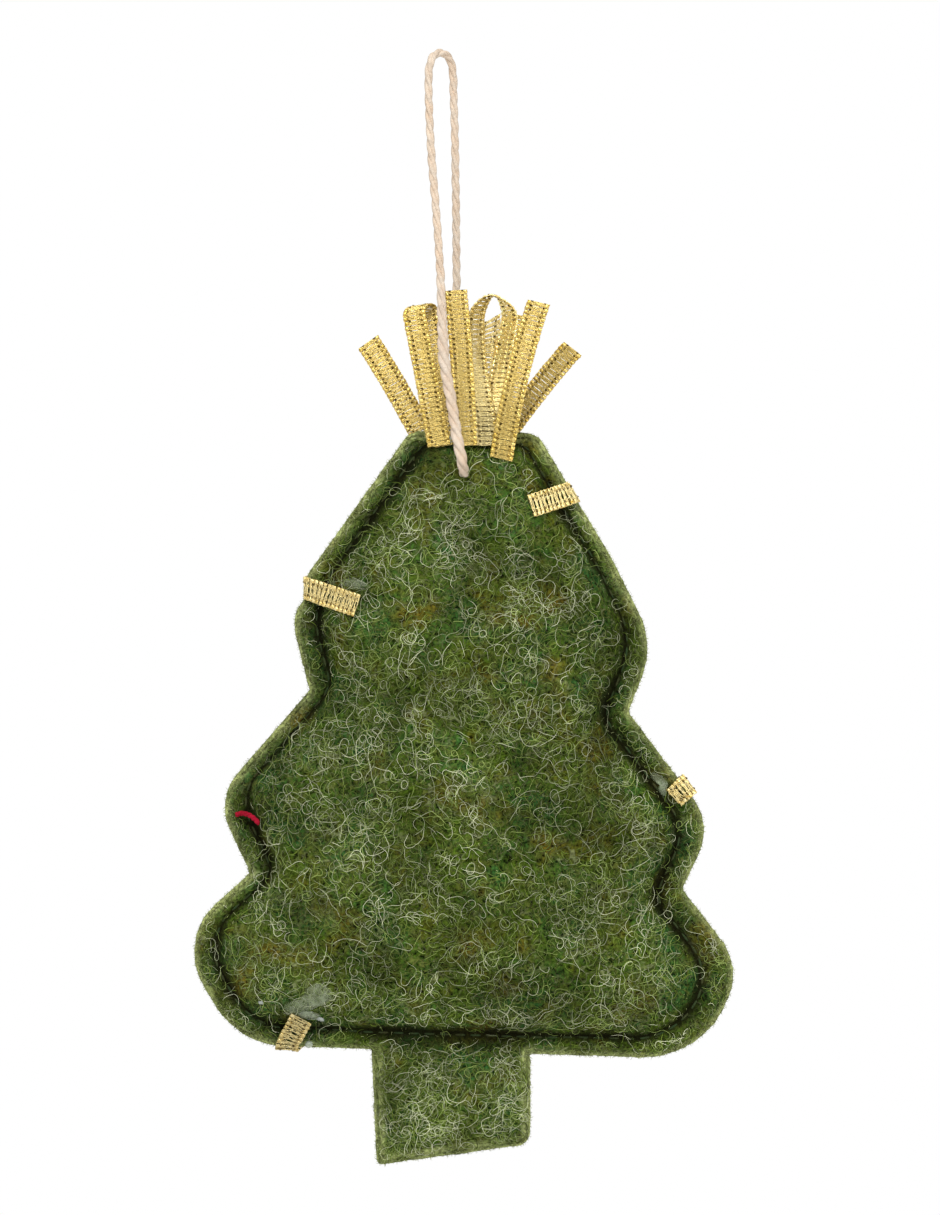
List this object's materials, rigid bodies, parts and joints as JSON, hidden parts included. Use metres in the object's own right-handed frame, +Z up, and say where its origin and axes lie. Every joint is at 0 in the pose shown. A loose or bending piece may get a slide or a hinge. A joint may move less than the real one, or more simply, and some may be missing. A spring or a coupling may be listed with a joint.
{
  "type": "felt christmas ornament",
  "caption": "Stuffed felt Christmas tree ornament with a sewn margin, a flat trunk tab, a gold mesh ribbon tuft and garlands, hung by a twisted cotton cord loop.",
  "frame": {"origin": "the inside of the cord loop's top, where a hook holds the ornament", "axes": "+X to the right of the pictured side, +Y to the rear through the ornament's thickness, +Z up"},
  "size_m": [0.0771, 0.0213, 0.1592],
  "materials": {
    "green_felt": "matt wool felt with loose pale fibres",
    "fibre_fill": "matt fibre",
    "green_thread": "matt sewing thread",
    "gold_ribbon": "bright gold metallic mesh",
    "cotton_cord": "matt twisted cotton",
    "hot_glue": "cloudy and half clear",
    "red_thread": "matt thread"
  },
  "bodies": {
    "hanging_loop": {"hanging_cord": "cotton_cord", "cord_knot": "cotton_cord"},
    "tree": {"front_felt_panel": "green_felt", "rear_felt_panel": "green_felt", "stuffing": "fibre_fill", "needle_thread": "green_thread", "bobbin_thread": "green_thread", "tuft_strip_far_left": "gold_ribbon", "tuft_loop_left": "gold_ribbon", "tuft_strip_centre": "gold_ribbon", "tuft_loop_right": "gold_ribbon", "tuft_strip_inner": "gold_ribbon", "tuft_strip_right": "gold_ribbon", "tuft_strip_rear_right": "gold_ribbon", "tuft_strip_far_right": "gold_ribbon", "tuft_glue_front": "hot_glue", "tuft_glue_rear": "hot_glue", "garland_upper": "gold_ribbon", "garland_lower": "gold_ribbon", "glue_upper_left": "hot_glue", "glue_right_mid": "hot_glue", "glue_bottom_left": "hot_glue", "glue_bottom_bead": "hot_glue", "red_stitch": "red_thread"}
  },
  "joints": [
    {"name": "tree_swing", "type": "hinge", "parent": "hanging_loop", "child": "tree", "pos_m": [0.0033, 0, -0.0596], "axis": [0, 1, 0], "range_deg": [-75, 75]}
  ]
}
